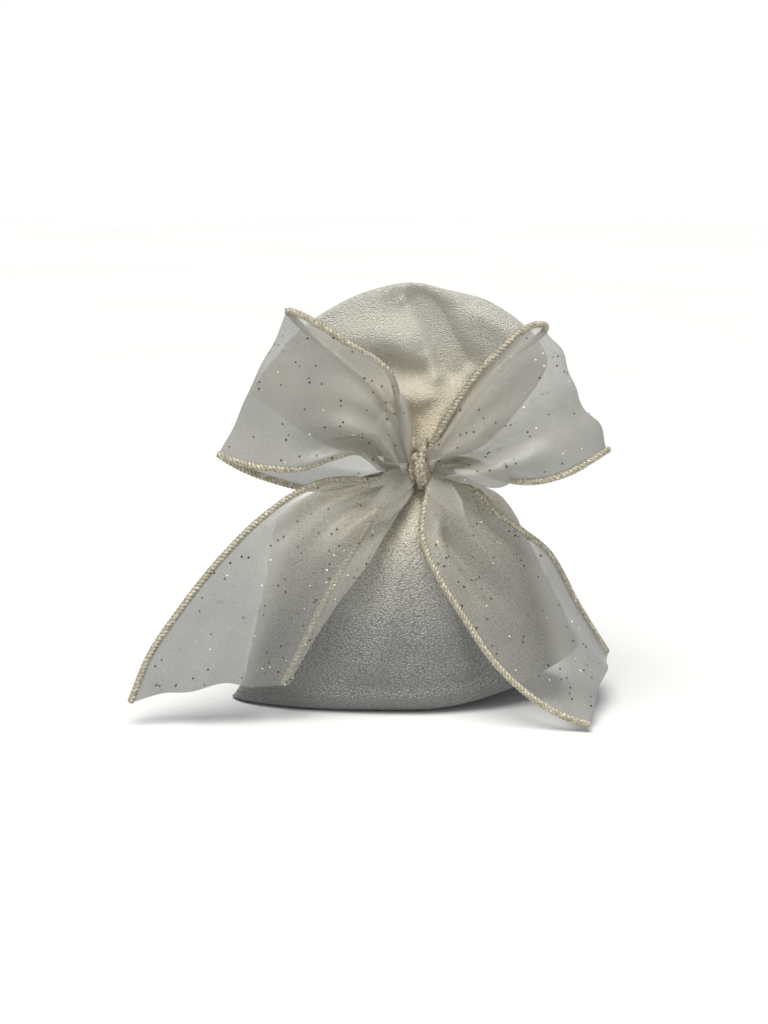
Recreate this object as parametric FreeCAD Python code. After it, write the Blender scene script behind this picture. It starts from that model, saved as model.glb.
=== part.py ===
import FreeCAD, Part
import math
import os

# Drawstring gift pouch, filled and tied with an organza bow. Millimetres, +Z up, +X to the viewer's
# right, -Y towards the viewer. The origin is on the surface the pouch stands on, under the knot.

# ---- driving dimensions ----
pouch_cloth = 1.0           # thickness of the panels, lining included
seam_radius = 1.5           # the turned-in seam allowance down each side
seam_stand = 0.5            # how far the seam's middle stands outside the panels
base_thickness = 1.5        # folded cloth under the filling
filling_gap = 1.6           # between the panels and the filling

neck_base_height = 55.0     # where the panels end and the pleated throat begins
neck_top_height = 62.0
neck_radius = 6.0           # over the pleats
neck_pleat_depth = 0.9
neck_pleats = 9

collar_inner_radius = 6.4
collar_outer_radius = 9.0
collar_height = 4.6

knot_height = 59.3          # the bow's centre above the surface
knot_radius = 4.3
knot_front = -16.2          # the knot's round front
knot_back = -8.9
knot_rounding = 2.0
loop_root_radius = 5.6      # loops leave the knot at this radius
tail_root_radius = 6.2

crown_hinge_height = 66.2   # the line the crown leans back about
crown_root_radius = 3.4
crown_root_length = 12.0
crown_cloth = 1.2
crown_gap = 1.6             # between the front and back of the mouth
hem_radius = 1.3

ribbon_cloth = 0.8          # stand-in thickness of the organza
ribbon_root_cloth = 1.8     # pleated together at the knot
cord_radius = 1.1           # overlocked edge cord
gather_cloth = 2.2          # the pleated stretch of a tail beside the knot
gather_end_gap = 0.9        # on each side of the line a tail lifts about

# Outline of the filled bag: height, centre across, half width, half depth.
bag_outline = [
    (1.5, -9.5, 33.0, 16.5),
    (6.0, -4.6, 38.8, 20.0),
    (14.0, -1.4, 40.2, 22.2),
    (26.0, -2.8, 36.2, 22.8),
    (38.0, -4.4, 32.4, 20.8),
    (46.0, -4.6, 29.0, 17.4),
    (52.0, -3.0, 20.0, 11.6),
    (55.0, -0.8, 9.8, 7.6),
]

# Rim of the gathered mouth, left to right: across, height.
crown_rim = [
    (-41.0, 75.5),
    (-34.2, 85.0),
    (-25.2, 93.8),
    (-14.5, 99.2),
    (-2.3, 101.6),
    (12.0, 99.9),
    (24.6, 92.6),
    (30.4, 84.1),
    (28.5, 77.5),
]

# Each loop of the bow as pairs of points on its top and bottom edges: out along the front,
# round the outer fold and home along the back. The first and last pairs are at the knot.
left_loop_top = [
    (-6.5, -17.6, 73.0),
    (-14.5, -21.2, 87.6),
    (-23.5, -21.5, 94.4),
    (-29.5, -20.4, 97.0),
    (-31.2, -17.6, 97.6),
    (-28.6, -15.2, 95.4),
    (-19.1, -13.8, 86.0),
    (-10.0, -12.8, 75.5),
]
left_loop_bottom = [
    (-11.5, -17.4, 64.8),
    (-21.0, -21.0, 63.8),
    (-34.0, -22.2, 61.6),
    (-44.5, -21.0, 62.8),
    (-47.8, -18.2, 63.8),
    (-43.0, -15.6, 61.6),
    (-30.0, -13.8, 57.4),
    (-15.0, -12.6, 58.0),
]
right_loop_top = [
    (8.0, -17.8, 73.5),
    (15.5, -20.6, 81.8),
    (22.5, -21.0, 88.6),
    (27.3, -20.2, 93.2),
    (29.2, -17.6, 94.6),
    (26.5, -15.6, 93.2),
    (17.0, -14.2, 87.0),
    (6.5, -12.8, 75.0),
]
right_loop_bottom = [
    (13.0, -17.8, 58.8),
    (23.5, -21.4, 58.6),
    (33.0, -22.0, 59.6),
    (41.0, -21.2, 63.2),
    (44.6, -18.4, 65.2),
    (40.0, -15.8, 62.8),
    (28.0, -14.0, 60.2),
    (13.0, -12.6, 59.6),
]
front_pairs = 6             # of the ten pairs, counted with the knot's and the outer fold's

# Each tail as pairs of points on its outer and inner edges, from the line it lifts about to its cut end.
left_tail_outer = [
    (-13.0, -17.0, 56.8),
    (-27.4, -21.5, 54.4),
    (-42.0, -25.5, 45.0),
    (-56.8, -28.0, 28.0),
    (-69.0, -30.0, 6.0),
]
left_tail_inner = [
    (-7.5, -19.5, 46.5),
    (-12.8, -23.5, 38.0),
    (-17.8, -25.8, 30.0),
    (-23.9, -27.0, 20.0),
    (-31.2, -28.0, 8.6),
]
right_tail_outer = [
    (11.6, -16.6, 53.6),
    (20.5, -14.6, 47.8),
    (31.6, -8.6, 37.9),
    (40.0, -4.0, 24.1),
    (48.4, -1.0, 9.0),
]
right_tail_inner = [
    (2.6, -19.8, 46.4),
    (3.6, -24.4, 38.0),
    (11.8, -27.0, 25.0),
    (24.0, -30.0, 10.0),
    (41.0, -33.0, 2.2),
]

# Directions, in degrees about the knot, between which each loop and tail leaves it: outer or top edge first.
left_loop_root_angles = (132, 172)
right_loop_root_angles = (48, 8)
left_tail_root_angles = (197, 237)
right_tail_root_angles = (334, 294)
loop_front_root_y = -13.4
loop_back_root_y = -10.8
tail_root_y = -12.4

os.makedirs("parts", exist_ok=True)


def save(shape, node):
    shape.exportStep("parts/" + node + ".step")


def vector(point):
    return FreeCAD.Vector(*point)


def spline(points):
    curve = Part.BSplineCurve()
    curve.interpolate(points)
    return curve


def midpoint(first, second):
    return (first + second) * 0.5


def knot_point(radius, angle, y):
    turn = math.radians(angle)
    return FreeCAD.Vector(radius * math.cos(turn), y, knot_height + radius * math.sin(turn))


# ---- sheets and cords ----
def closed_section(outer, inner):
    """A closed wire: a curve through the outer points, and back through the inner points."""
    edges = [
        spline(outer).toShape(),
        Part.makeLine(outer[-1], inner[0]),
        spline(inner).toShape(),
        Part.makeLine(inner[-1], outer[0]),
    ]
    return Part.Wire(edges)


def sheet_normals(tops, bottoms, facing):
    """The direction square to the sheet at each pair of points."""
    middles = [midpoint(top, bottom) for top, bottom in zip(tops, bottoms)]
    last = len(middles) - 1
    normals = []
    for index in range(last + 1):
        along = middles[min(index + 1, last)] - middles[max(index - 1, 0)]
        across = bottoms[index] - tops[index]
        normal = along.cross(across) * facing
        normals.append(normal.normalize())
    return normals


def sheet_wires(tops, bottoms, bulges, thicknesses, facing):
    """One thin arched section for each pair of points; a bulge lifts its middle off the straight line."""
    wires = []
    normals = sheet_normals(tops, bottoms, facing)
    for top, bottom, normal, bulge, thickness in zip(tops, bottoms, normals, bulges, thicknesses):
        middle = midpoint(top, bottom) + normal * bulge
        half = normal * (thickness / 2)
        outer = [top + half, middle + half, bottom + half]
        inner = [bottom - half, middle - half, top - half]
        wires.append(closed_section(outer, inner))
    return wires


def loft(wires):
    return Part.makeLoft(wires, True, False)


def cord(points, radius, stations):
    """A round cord through the points, made of eight-sided sections square to its run."""
    path = spline(points)
    first = path.FirstParameter
    last = path.LastParameter
    side = None
    wires = []
    for index in range(stations):
        place = first + (last - first) * index / (stations - 1)
        run = FreeCAD.Vector(path.tangent(place)[0])
        if side is None:
            side = run.cross(FreeCAD.Vector(0.3, 1.0, 0.2))
        side = side - run * side.dot(run)
        side.normalize()
        other = run.cross(side)
        centre = path.value(place)
        corners = []
        for corner in range(8):
            turn = math.radians(45 * corner)
            corners.append(centre + side * (radius * math.cos(turn)) + other * (radius * math.sin(turn)))
        wires.append(Part.makePolygon(corners + corners[:1]))
    return loft(wires)


# ---- the filled bag ----
def oval_points(height, centre, half_width, half_depth, start, end, count):
    points = []
    for index in range(count):
        turn = math.radians(start + (end - start) * index / (count - 1))
        x = centre + half_width * math.cos(turn)
        points.append(FreeCAD.Vector(x, half_depth * math.sin(turn), height))
    return points


def panel(start, end):
    """Half of the bag's wall, between two directions seen from above."""
    wires = []
    for height, centre, half_width, half_depth in bag_outline:
        outer = oval_points(height, centre, half_width, half_depth, start, end, 9)
        inner = oval_points(
            height, centre, half_width - pouch_cloth, half_depth - pouch_cloth, end, start, 9)
        wires.append(closed_section(outer, inner))
    return loft(wires)


def oval_wire(height, centre, half_width, half_depth):
    ellipse = Part.Ellipse(FreeCAD.Vector(centre, 0, height), half_width, half_depth)
    return Part.Wire([ellipse.toShape()])


def side_seam(side):
    """The seam where the panels meet, standing a little proud of the bag's widest line."""
    points = []
    for height, centre, half_width, half_depth in bag_outline[:-1]:
        points.append(FreeCAD.Vector(centre + side * (half_width + seam_stand), 0, height + seam_radius * 0.6))
    return cord(points, seam_radius, 16)


def make_bag():
    save(panel(184, 356), "front_panel")
    save(panel(4, 176), "back_panel")
    save(side_seam(-1), "left_side_seam")
    save(side_seam(1), "right_side_seam")

    height, centre, half_width, half_depth = bag_outline[0]
    base = loft([
        oval_wire(0, centre, half_width - 3, half_depth - 2),
        oval_wire(base_thickness, centre, half_width, half_depth),
    ])
    save(base, "base_fold")

    shrink = pouch_cloth + filling_gap
    sections = []
    for height, centre, half_width, half_depth in bag_outline[:-1]:
        sections.append(oval_wire(height, centre, half_width - shrink, half_depth - shrink))
    save(loft(sections), "filling")


def pleated_wire(height, half_width, half_depth, pleat_depth):
    points = []
    for index in range(2 * neck_pleats):
        turn = math.pi * index / neck_pleats
        drop = pleat_depth * (index % 2)
        x = (half_width - drop) * math.cos(turn)
        points.append(FreeCAD.Vector(x, (half_depth - drop) * math.sin(turn), height))
    curve = Part.BSplineCurve()
    curve.interpolate(Points=points, PeriodicFlag=True)
    return Part.Wire([curve.toShape()])


def make_neck():
    height, centre, half_width, half_depth = bag_outline[-1]
    neck = loft([
        pleated_wire(neck_base_height, half_width - 1.5, half_depth - 0.6, neck_pleat_depth),
        pleated_wire(neck_base_height + 1.4, neck_radius + 0.2, neck_radius, neck_pleat_depth),
        pleated_wire(neck_top_height, neck_radius, neck_radius, neck_pleat_depth),
    ])
    save(neck, "neck_gather")


# ---- the gathered mouth above the tie ----
def make_crown():
    root = Part.makeCylinder(
        crown_root_radius,
        crown_root_length,
        FreeCAD.Vector(-crown_root_length / 2, 0, crown_hinge_height),
        FreeCAD.Vector(1, 0, 0))
    save(root, "crown_root")

    last = len(crown_rim) - 1
    foot_height = crown_hinge_height + crown_root_radius
    for name, direction in (("front", -1), ("back", 1)):
        offset = direction * (crown_gap + crown_cloth) / 2
        rim = []
        foot = []
        bulges = []
        for index, (x, z) in enumerate(crown_rim):
            share = index / last
            rim.append(FreeCAD.Vector(x, offset, z))
            foot_x = crown_root_length * (share - 0.5) * 0.9
            foot.append(FreeCAD.Vector(foot_x, offset, foot_height + 0.2))
            bulges.append(2.0 + 2.5 * math.sin(math.pi * share))
        thicknesses = [crown_cloth] * len(rim)
        wires = sheet_wires(rim, foot, bulges, thicknesses, direction)
        save(loft(wires), "crown_" + name)
        save(cord(rim, hem_radius, 21), "mouth_hem_" + name)


# ---- the bow ----
def make_collar():
    ring = Part.makeCylinder(collar_outer_radius, collar_height)
    hole = Part.makeCylinder(collar_inner_radius, collar_height)
    collar = ring.cut(hole)
    collar = collar.makeFillet(0.9, collar.Edges)
    collar.translate(FreeCAD.Vector(0, 0, knot_height - collar_height / 2))
    save(collar, "ribbon_collar")


def make_knot():
    length = knot_back - knot_front
    knot = Part.makeCylinder(
        knot_radius, length, FreeCAD.Vector(0, knot_front, knot_height), FreeCAD.Vector(0, 1, 0))
    rounded = [edge for edge in knot.Edges if edge.Closed and abs(edge.CenterOfMass.y - knot_front) < 0.1]
    save(knot.makeFillet(knot_rounding, rounded), "knot")


def make_loop(name, tops, bottoms, root_angles, facing):
    top_angle, bottom_angle = root_angles
    top_points = [knot_point(loop_root_radius, top_angle, loop_front_root_y)]
    top_points += [vector(point) for point in tops]
    top_points.append(knot_point(loop_root_radius, top_angle, loop_back_root_y))
    bottom_points = [knot_point(loop_root_radius, bottom_angle, loop_front_root_y)]
    bottom_points += [vector(point) for point in bottoms]
    bottom_points.append(knot_point(loop_root_radius, bottom_angle, loop_back_root_y))
    bulges = [0.3, 1.2, 1.6, 1.4, 0.8, 0.5, 0.4, 0.4, 0.4, 0.2]
    thicknesses = [ribbon_root_cloth] + [ribbon_cloth] * len(tops) + [ribbon_root_cloth]
    wires = sheet_wires(top_points, bottom_points, bulges, thicknesses, facing)
    save(loft(wires[:front_pairs]), name + "_front")
    save(loft(wires[front_pairs - 1:]), name + "_back")
    save(cord(top_points, cord_radius, 64), name + "_top_edge")
    save(cord(bottom_points, cord_radius, 64), name + "_bottom_edge")


def make_tail(name, outers, inners, root_angles, facing):
    outer_angle, inner_angle = root_angles
    outer_points = [vector(point) for point in outers]
    inner_points = [vector(point) for point in inners]
    away = midpoint(outer_points[1], inner_points[1]) - midpoint(outer_points[0], inner_points[0])
    away.normalize()
    inset = away * gather_end_gap

    root_outer = knot_point(tail_root_radius, outer_angle, tail_root_y)
    root_inner = knot_point(tail_root_radius, inner_angle, tail_root_y)
    gather_tops = [root_outer, outer_points[0] - inset]
    gather_bottoms = [root_inner, inner_points[0] - inset]
    wires = sheet_wires(gather_tops, gather_bottoms, [0.2, 0.6], [gather_cloth, ribbon_root_cloth], facing)
    save(loft(wires), name + "_gather")

    outer_points[0] = outer_points[0] + inset
    inner_points[0] = inner_points[0] + inset
    bulges = [0.8, 3.0, 4.2, 3.6, 2.2]
    thicknesses = [1.2] + [ribbon_cloth] * (len(outer_points) - 1)
    wires = sheet_wires(outer_points, inner_points, bulges, thicknesses, facing)
    save(loft(wires), name)
    save(cord(outer_points, cord_radius, 21), name + "_outer_edge")
    save(cord(inner_points, cord_radius, 21), name + "_inner_edge")


make_bag()
make_neck()
make_crown()
make_collar()
make_knot()
make_loop("left_loop", left_loop_top, left_loop_bottom, left_loop_root_angles, 1)
make_loop("right_loop", right_loop_top, right_loop_bottom, right_loop_root_angles, -1)
make_tail("left_tail", left_tail_outer, left_tail_inner, left_tail_root_angles, 1)
make_tail("right_tail", right_tail_outer, right_tail_inner, right_tail_root_angles, -1)
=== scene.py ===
"""Looks of the gift pouch: a stuffed crepe bag with a fanned crown, tied with a bow of sheer corded ribbon.

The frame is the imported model, in metres. Lengths written here are in millimetres and are scaled by MM.
Seen from the front (-Y), left is -X. The knot is on the plane x = 0 and the pouch stands on z = 0.
"""

import math
import random

import bpy
import numpy as np
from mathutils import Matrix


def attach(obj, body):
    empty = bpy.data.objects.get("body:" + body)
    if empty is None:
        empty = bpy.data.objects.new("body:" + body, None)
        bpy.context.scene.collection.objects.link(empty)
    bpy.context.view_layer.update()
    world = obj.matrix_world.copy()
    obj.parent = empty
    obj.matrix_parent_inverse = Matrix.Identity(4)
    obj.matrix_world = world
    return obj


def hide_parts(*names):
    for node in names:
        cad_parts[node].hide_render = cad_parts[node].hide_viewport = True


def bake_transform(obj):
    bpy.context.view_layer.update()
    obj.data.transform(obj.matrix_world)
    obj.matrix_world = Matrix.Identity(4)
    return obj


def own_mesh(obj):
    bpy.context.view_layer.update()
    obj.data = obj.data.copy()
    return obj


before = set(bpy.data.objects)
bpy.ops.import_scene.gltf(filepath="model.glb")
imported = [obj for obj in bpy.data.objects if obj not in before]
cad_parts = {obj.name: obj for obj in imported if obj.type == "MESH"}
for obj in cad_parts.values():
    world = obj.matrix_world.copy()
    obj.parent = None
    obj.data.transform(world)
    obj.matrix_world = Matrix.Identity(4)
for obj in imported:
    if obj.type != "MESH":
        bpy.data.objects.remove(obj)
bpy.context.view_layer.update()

MM = 0.001
RIBBON_WIDTH = 40.0
CORD_RADIUS = 0.86
CORD_PITCH = 3.0
NECK_RADIUS = 5.9
CROWN_START = 61.0
BOW_HEIGHT = 62.0
KNOT_CENTRE = (0.0, -13.4, 58.7)
STEPS_BETWEEN_POINTS = 24


# ---------------------------------------------------------------- curves and meshes

def resample(line, count):
    """The same line as count points, evenly spaced along its length."""
    steps = np.linalg.norm(np.diff(line, axis=0), axis=1)
    along = np.concatenate([[0.0], np.cumsum(steps)])
    wanted = np.linspace(0.0, along[-1], count)
    return np.stack([np.interp(wanted, along, line[:, axis]) for axis in range(line.shape[1])], 1)


def hermite(points, fine=STEPS_BETWEEN_POINTS):
    """A smooth line through the points; each stretch between two of them has fine steps."""
    p = np.array(points, float)
    gaps = np.linalg.norm(np.diff(p, axis=0), axis=1)[:, None]
    slopes = np.diff(p, axis=0) / gaps
    inner = (slopes[:-1] * gaps[1:] + slopes[1:] * gaps[:-1]) / (gaps[1:] + gaps[:-1])
    tangents = np.vstack([slopes[:1], inner, slopes[-1:]])
    t = np.linspace(0.0, 1.0, fine, endpoint=False)[:, None]
    line = []
    for i in range(len(p) - 1):
        start = (1 + 2 * t) * (1 - t) ** 2 * p[i] + t * (1 - t) ** 2 * gaps[i] * tangents[i]
        end = t * t * (3 - 2 * t) * p[i + 1] + t * t * (t - 1) * gaps[i] * tangents[i + 1]
        line.append(start + end)
    return np.vstack(line + [p[-1:]])


def in_two_parts(points, middle, first_rows, second_rows):
    """A smooth line through the points: first_rows steps up to points[middle] and second_rows after it."""
    line = hermite(points)
    first = resample(line[: middle * STEPS_BETWEEN_POINTS + 1], first_rows + 1)
    second = resample(line[middle * STEPS_BETWEEN_POINTS:], second_rows + 1)
    return np.vstack([first, second[1:]])


def smooth_step(low, high, value):
    """0 up to low, 1 from high, and smooth between."""
    t = np.clip((value - low) / (high - low), 0.0, 1.0)
    return t * t * (3 - 2 * t)


def unit(vectors):
    """The same directions, one long."""
    return vectors / np.maximum(np.linalg.norm(vectors, axis=-1, keepdims=True), 1e-9)


def quads_over(grid, closed):
    """The quads over a grid's rows and columns; closed joins the last column to the first."""
    rows, columns, _ = grid.shape
    row = np.arange(rows - 1)[:, None] * columns
    column = np.arange(columns if closed else columns - 1)[None, :]
    following = (column + 1) % columns
    corners = [row + column, row + following, row + columns + following, row + columns + column]
    return np.stack(corners, -1).reshape(-1, 4)


def grid_object(name, grid, material, closed=False):
    """A mesh over one grid of points in mm."""
    return mesh_object(name, grid.reshape(-1, 3), quads_over(grid, closed), [material])


def mesh_object(name, points, faces, materials, face_materials=None):
    """A smooth-shaded mesh from points in mm; face_materials picks each face's material from the list."""
    mesh = bpy.data.meshes.new(name)
    mesh.from_pydata((points * MM).tolist(), [], faces.tolist())
    for material in materials:
        mesh.materials.append(material)
    if face_materials is not None:
        mesh.polygons.foreach_set("material_index", face_materials)
    mesh.polygons.foreach_set("use_smooth", np.ones(len(faces), bool))
    mesh.update()
    piece = bpy.data.objects.new(name, mesh)
    bpy.context.scene.collection.objects.link(piece)
    return piece


def joined(name, tubes, material):
    """One mesh object from several tubes, each a closed grid of points in mm."""
    points = []
    faces = []
    start = 0
    for grid in tubes:
        faces.append(quads_over(grid, True) + start)
        points.append(grid.reshape(-1, 3))
        start += len(points[-1])
    return mesh_object(name, np.vstack(points), np.vstack(faces), [material])


def frames_along(line):
    """Two directions square to the line at each point, carried along it without twisting."""
    tangents = unit(np.gradient(line, axis=0))
    side = np.cross(tangents[0], (0.31, 0.17, 0.93))
    sides = []
    for tangent in tangents:
        side = side - tangent * np.dot(side, tangent)
        side = side / np.linalg.norm(side)
        sides.append(side)
    sides = np.array(sides)
    return sides, np.cross(tangents, sides)


def tube(line, radii, columns=12):
    """Rings of points round a line, each with its own radius."""
    side, up = frames_along(line)
    angle = np.linspace(0.0, 2 * math.pi, columns, endpoint=False)
    ring = np.cos(angle)[None, :, None] * side[:, None, :] + np.sin(angle)[None, :, None] * up[:, None, :]
    return line[:, None, :] + ring * np.asarray(radii)[:, None, None]


def cord_object(name, line, radius=CORD_RADIUS):
    """A ribbon's edge cord along a line: three strands twisted together, rounded off at both ends."""
    length = np.linalg.norm(np.diff(line, axis=0), axis=1).sum()
    line = resample(line, max(8, int(length / 0.3)))
    side, up = frames_along(line)
    strand = radius * 0.5
    along = np.linspace(0.0, length, len(line))
    taper = np.clip(np.minimum(along, length - along) / 0.35, 0.0, 1.0) ** 0.5
    strands = []
    for k in range(3):
        angle = 2 * math.pi * (along / CORD_PITCH + k / 3)
        offset = np.cos(angle)[:, None] * side + np.sin(angle)[:, None] * up
        strands.append(tube(line + offset * (radius - strand), strand * taper, 7))
    return joined(name, strands, thread)


# ---------------------------------------------------------------- materials

def nodes_of(name):
    """A new material, its node tree and its shader."""
    material = bpy.data.materials.new(name)
    material.use_nodes = True
    tree = material.node_tree
    return material, tree, tree.nodes["Principled BSDF"]


def rest_position(tree, scale):
    """Object coordinates times scale, which is one number or one for each axis."""
    coordinates = tree.nodes.new("ShaderNodeTexCoord")
    mapping = tree.nodes.new("ShaderNodeMapping")
    mapping.inputs["Scale"].default_value = scale
    tree.links.new(coordinates.outputs["Object"], mapping.inputs["Vector"])
    return mapping.outputs["Vector"]


def noise(tree, scale, detail=2.0, roughness=0.55, distortion=0.0):
    """Cloudy noise from 0 to 1, with scale cells to a metre."""
    node = tree.nodes.new("ShaderNodeTexNoise")
    node.inputs["Scale"].default_value = 1.0
    node.inputs["Detail"].default_value = detail
    node.inputs["Roughness"].default_value = roughness
    node.inputs["Distortion"].default_value = distortion
    tree.links.new(rest_position(tree, scale), node.inputs["Vector"])
    return node.outputs["Fac"]


def pebbles(tree, scale, smoothness):
    """0 at the top of each pebble of a packed layer, rising to the creases between them."""
    node = tree.nodes.new("ShaderNodeTexVoronoi")
    node.feature = "SMOOTH_F1"
    node.inputs["Scale"].default_value = 1.0
    node.inputs["Smoothness"].default_value = smoothness
    tree.links.new(rest_position(tree, scale), node.inputs["Vector"])
    return node.outputs["Distance"]


def ramp(tree, value, stops):
    """A colour that follows value through (position, colour) stops."""
    node = tree.nodes.new("ShaderNodeValToRGB")
    node.color_ramp.elements[0].position = stops[0][0]
    node.color_ramp.elements[0].color = (*stops[0][1], 1.0)
    node.color_ramp.elements[1].position = stops[-1][0]
    node.color_ramp.elements[1].color = (*stops[-1][1], 1.0)
    for position, colour in stops[1:-1]:
        node.color_ramp.elements.new(position).color = (*colour, 1.0)
    tree.links.new(value, node.inputs["Fac"])
    return node.outputs["Color"]


def by_height(tree, low, high):
    """0 below the height low and 1 above high, in mm."""
    coordinates = tree.nodes.new("ShaderNodeTexCoord")
    split = tree.nodes.new("ShaderNodeSeparateXYZ")
    spread = tree.nodes.new("ShaderNodeMapRange")
    spread.inputs["From Min"].default_value = low * MM
    spread.inputs["From Max"].default_value = high * MM
    tree.links.new(coordinates.outputs["Object"], split.inputs["Vector"])
    tree.links.new(split.outputs["Z"], spread.inputs["Value"])
    return spread.outputs["Result"]


def mixed(tree, factor, first, second, kind="FLOAT"):
    """first where factor is 0 and second where it is 1; each is a socket or a plain value."""
    node = tree.nodes.new("ShaderNodeMix")
    node.data_type = kind
    sockets = [s for s in node.inputs if s.enabled]
    results = [s for s in node.outputs if s.enabled]
    for socket, value in zip(sockets, (factor, first, second)):
        if isinstance(value, bpy.types.NodeSocket):
            tree.links.new(value, socket)
        else:
            socket.default_value = value
    return results[0]


def bump(tree, shader, height, strength, depth):
    """Relief from a 0 to 1 height that stands for depth mm; a negative depth turns it inside out."""
    node = tree.nodes.new("ShaderNodeBump")
    node.inputs["Strength"].default_value = strength
    node.inputs["Distance"].default_value = depth * MM
    tree.links.new(height, node.inputs["Height"])
    tree.links.new(node.outputs["Normal"], shader.inputs["Normal"])


def crepe_material():
    """Hammered crepe: pebbles drawn out sideways on the bag and finer on the crown, with painted shade in the
    creases between them. The colour is multiplied by painted light and shade by height: darker and cooler
    towards the base, and brighter and warmer up the neck and crown."""
    material, tree, shader = nodes_of("crepe")
    bag = pebbles(tree, (1450, 1450, 2450), 0.25)
    crown = pebbles(tree, (2800, 2800, 3200), 0.60)
    up = by_height(tree, 56, 72)
    crease = mixed(tree, up, bag, crown)
    # painted shade: the colour darkens from the pebble tops into the creases between them
    bag_crease_shade = ramp(tree, crease, [(0.25, (0.87, 0.85, 0.775)), (0.75, (0.53, 0.51, 0.45))])
    crown_crease_shade = ramp(tree, crease, [(0.10, (0.67, 0.65, 0.585)), (0.60, (0.53, 0.51, 0.45))])
    cloth = mixed(tree, up, bag_crease_shade, crown_crease_shade, "RGBA")
    # painted light and shade by height: dark and cool at the base, bright and warm at the neck and crown
    shade = ramp(tree, by_height(tree, 0, 100), [
        (0.0, (0.195, 0.203, 0.21)), (0.18, (0.24, 0.248, 0.255)), (0.35, (0.42, 0.42, 0.41)),
        (0.46, (0.80, 0.77, 0.69)), (0.71, (1.0, 0.91, 0.74)), (0.80, (1.0, 0.96, 0.86)),
        (0.88, (1.0, 1.0, 0.97))])
    painted_shading = tree.nodes.new("ShaderNodeMix")
    painted_shading.data_type = "RGBA"
    painted_shading.blend_type = "MULTIPLY"
    painted_shading.inputs["Factor"].default_value = 1.0
    tree.links.new(cloth, painted_shading.inputs["A"])
    tree.links.new(shade, painted_shading.inputs["B"])
    tree.links.new(painted_shading.outputs["Result"], shader.inputs["Base Color"])
    shader.inputs["Roughness"].default_value = 0.36
    shader.inputs["Specular IOR Level"].default_value = 0.85
    shader.inputs["Sheen Weight"].default_value = 0.2
    shader.inputs["Sheen Roughness"].default_value = 0.5
    bump(tree, shader, crease, 1.0, -0.38)
    return material


def outwards(tree, centre, slope, near, far, inner, outer):
    """inner up to near mm of |x - centre| + slope * (z - BOW_HEIGHT), and changing to outer at far mm."""
    coordinates = tree.nodes.new("ShaderNodeTexCoord")
    split = tree.nodes.new("ShaderNodeSeparateXYZ")
    aside = tree.nodes.new("ShaderNodeMath")
    aside.operation = "SUBTRACT"
    aside.inputs[1].default_value = centre * MM
    sideways = tree.nodes.new("ShaderNodeMath")
    sideways.operation = "ABSOLUTE"
    slanted = tree.nodes.new("ShaderNodeMath")
    slanted.operation = "MULTIPLY_ADD"
    slanted.inputs[1].default_value = slope
    spread = tree.nodes.new("ShaderNodeMapRange")
    spread.interpolation_type = "SMOOTHSTEP"
    offset = slope * BOW_HEIGHT
    for socket, value in (("From Min", (near + offset) * MM), ("From Max", (far + offset) * MM),
                          ("To Min", inner), ("To Max", outer)):
        spread.inputs[socket].default_value = value
    tree.links.new(coordinates.outputs["Object"], split.inputs["Vector"])
    tree.links.new(split.outputs["X"], aside.inputs[0])
    tree.links.new(aside.outputs["Value"], sideways.inputs[0])
    tree.links.new(split.outputs["Z"], slanted.inputs[0])
    tree.links.new(sideways.outputs["Value"], slanted.inputs[2])
    tree.links.new(slanted.outputs["Value"], spread.inputs["Value"])
    return spread.outputs["Result"]


def organza_material(name, low, high, painted_glow_by_knot, reach, opacity_outwards):
    """Sheer shiny organza in cloudy shades from low to high, with fine bright dust. It has the colour
    painted_glow_by_knot at the knot, a painted light which fades out at reach mm, and opacity_outwards holds
    its opacity as the arguments of outwards; the opacity rising away from the middle is painted shade."""
    material, tree, shader = nodes_of(name)
    cloud = ramp(tree, noise(tree, (90, 90, 90), 2.0), [(0.3, low), (0.7, high)])
    dust = ramp(tree, noise(tree, (4800, 4800, 4800), 0.0), [
        (0.70, (0.0, 0.0, 0.0)), (0.80, (0.28, 0.28, 0.28))])
    # painted light: the colour brightens and warms towards the knot, fading out at reach mm
    knot_glow_cloud = mixed(tree, outwards(tree, 0.0, 0.0, 3.0, reach, 1.0, 0.0), cloud, (*painted_glow_by_knot, 1.0), "RGBA")
    colour = mixed(tree, dust, knot_glow_cloud, (1.0, 0.97, 0.88, 1.0), "RGBA")
    tree.links.new(colour, shader.inputs["Base Color"])
    shader.inputs["Roughness"].default_value = 0.42
    shader.inputs["Specular IOR Level"].default_value = 0.5
    shader.inputs["Sheen Weight"].default_value = 0.15
    # painted shade: the opacity rises away from the middle, so the ribbon reads darker over the pale floor
    tree.links.new(outwards(tree, *opacity_outwards), shader.inputs["Alpha"])
    bump(tree, shader, noise(tree, (2600, 2600, 2600), 1.0), 0.35, 0.05)
    return material


def thread_material():
    """Cream overlock thread with a metallic yarn running in it."""
    material, tree, shader = nodes_of("edge_thread")
    fleck = noise(tree, (1500, 1500, 1500), 2.0, 0.7)
    colour = ramp(tree, fleck, [
        (0.30, (0.26, 0.235, 0.165)), (0.55, (0.45, 0.415, 0.315)), (0.72, (0.80, 0.74, 0.60))])
    tree.links.new(colour, shader.inputs["Base Color"])
    shader.inputs["Roughness"].default_value = 0.42
    shader.inputs["Metallic"].default_value = 0.15
    bump(tree, shader, fleck, 0.6, 0.12)
    return material


def packed_material():
    """Packed layers of organza behind the knot and in the collar, which are no longer sheer."""
    material, tree, shader = nodes_of("packed_organza")
    crumple = noise(tree, (520, 520, 160), 3.0, 0.65)
    colour = ramp(tree, crumple, [(0.3, (0.42, 0.39, 0.31)), (0.7, (0.60, 0.56, 0.46))])
    tree.links.new(colour, shader.inputs["Base Color"])
    shader.inputs["Roughness"].default_value = 0.4
    shader.inputs["Sheen Weight"].default_value = 0.2
    bump(tree, shader, crumple, 0.7, 0.3)
    return material


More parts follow.
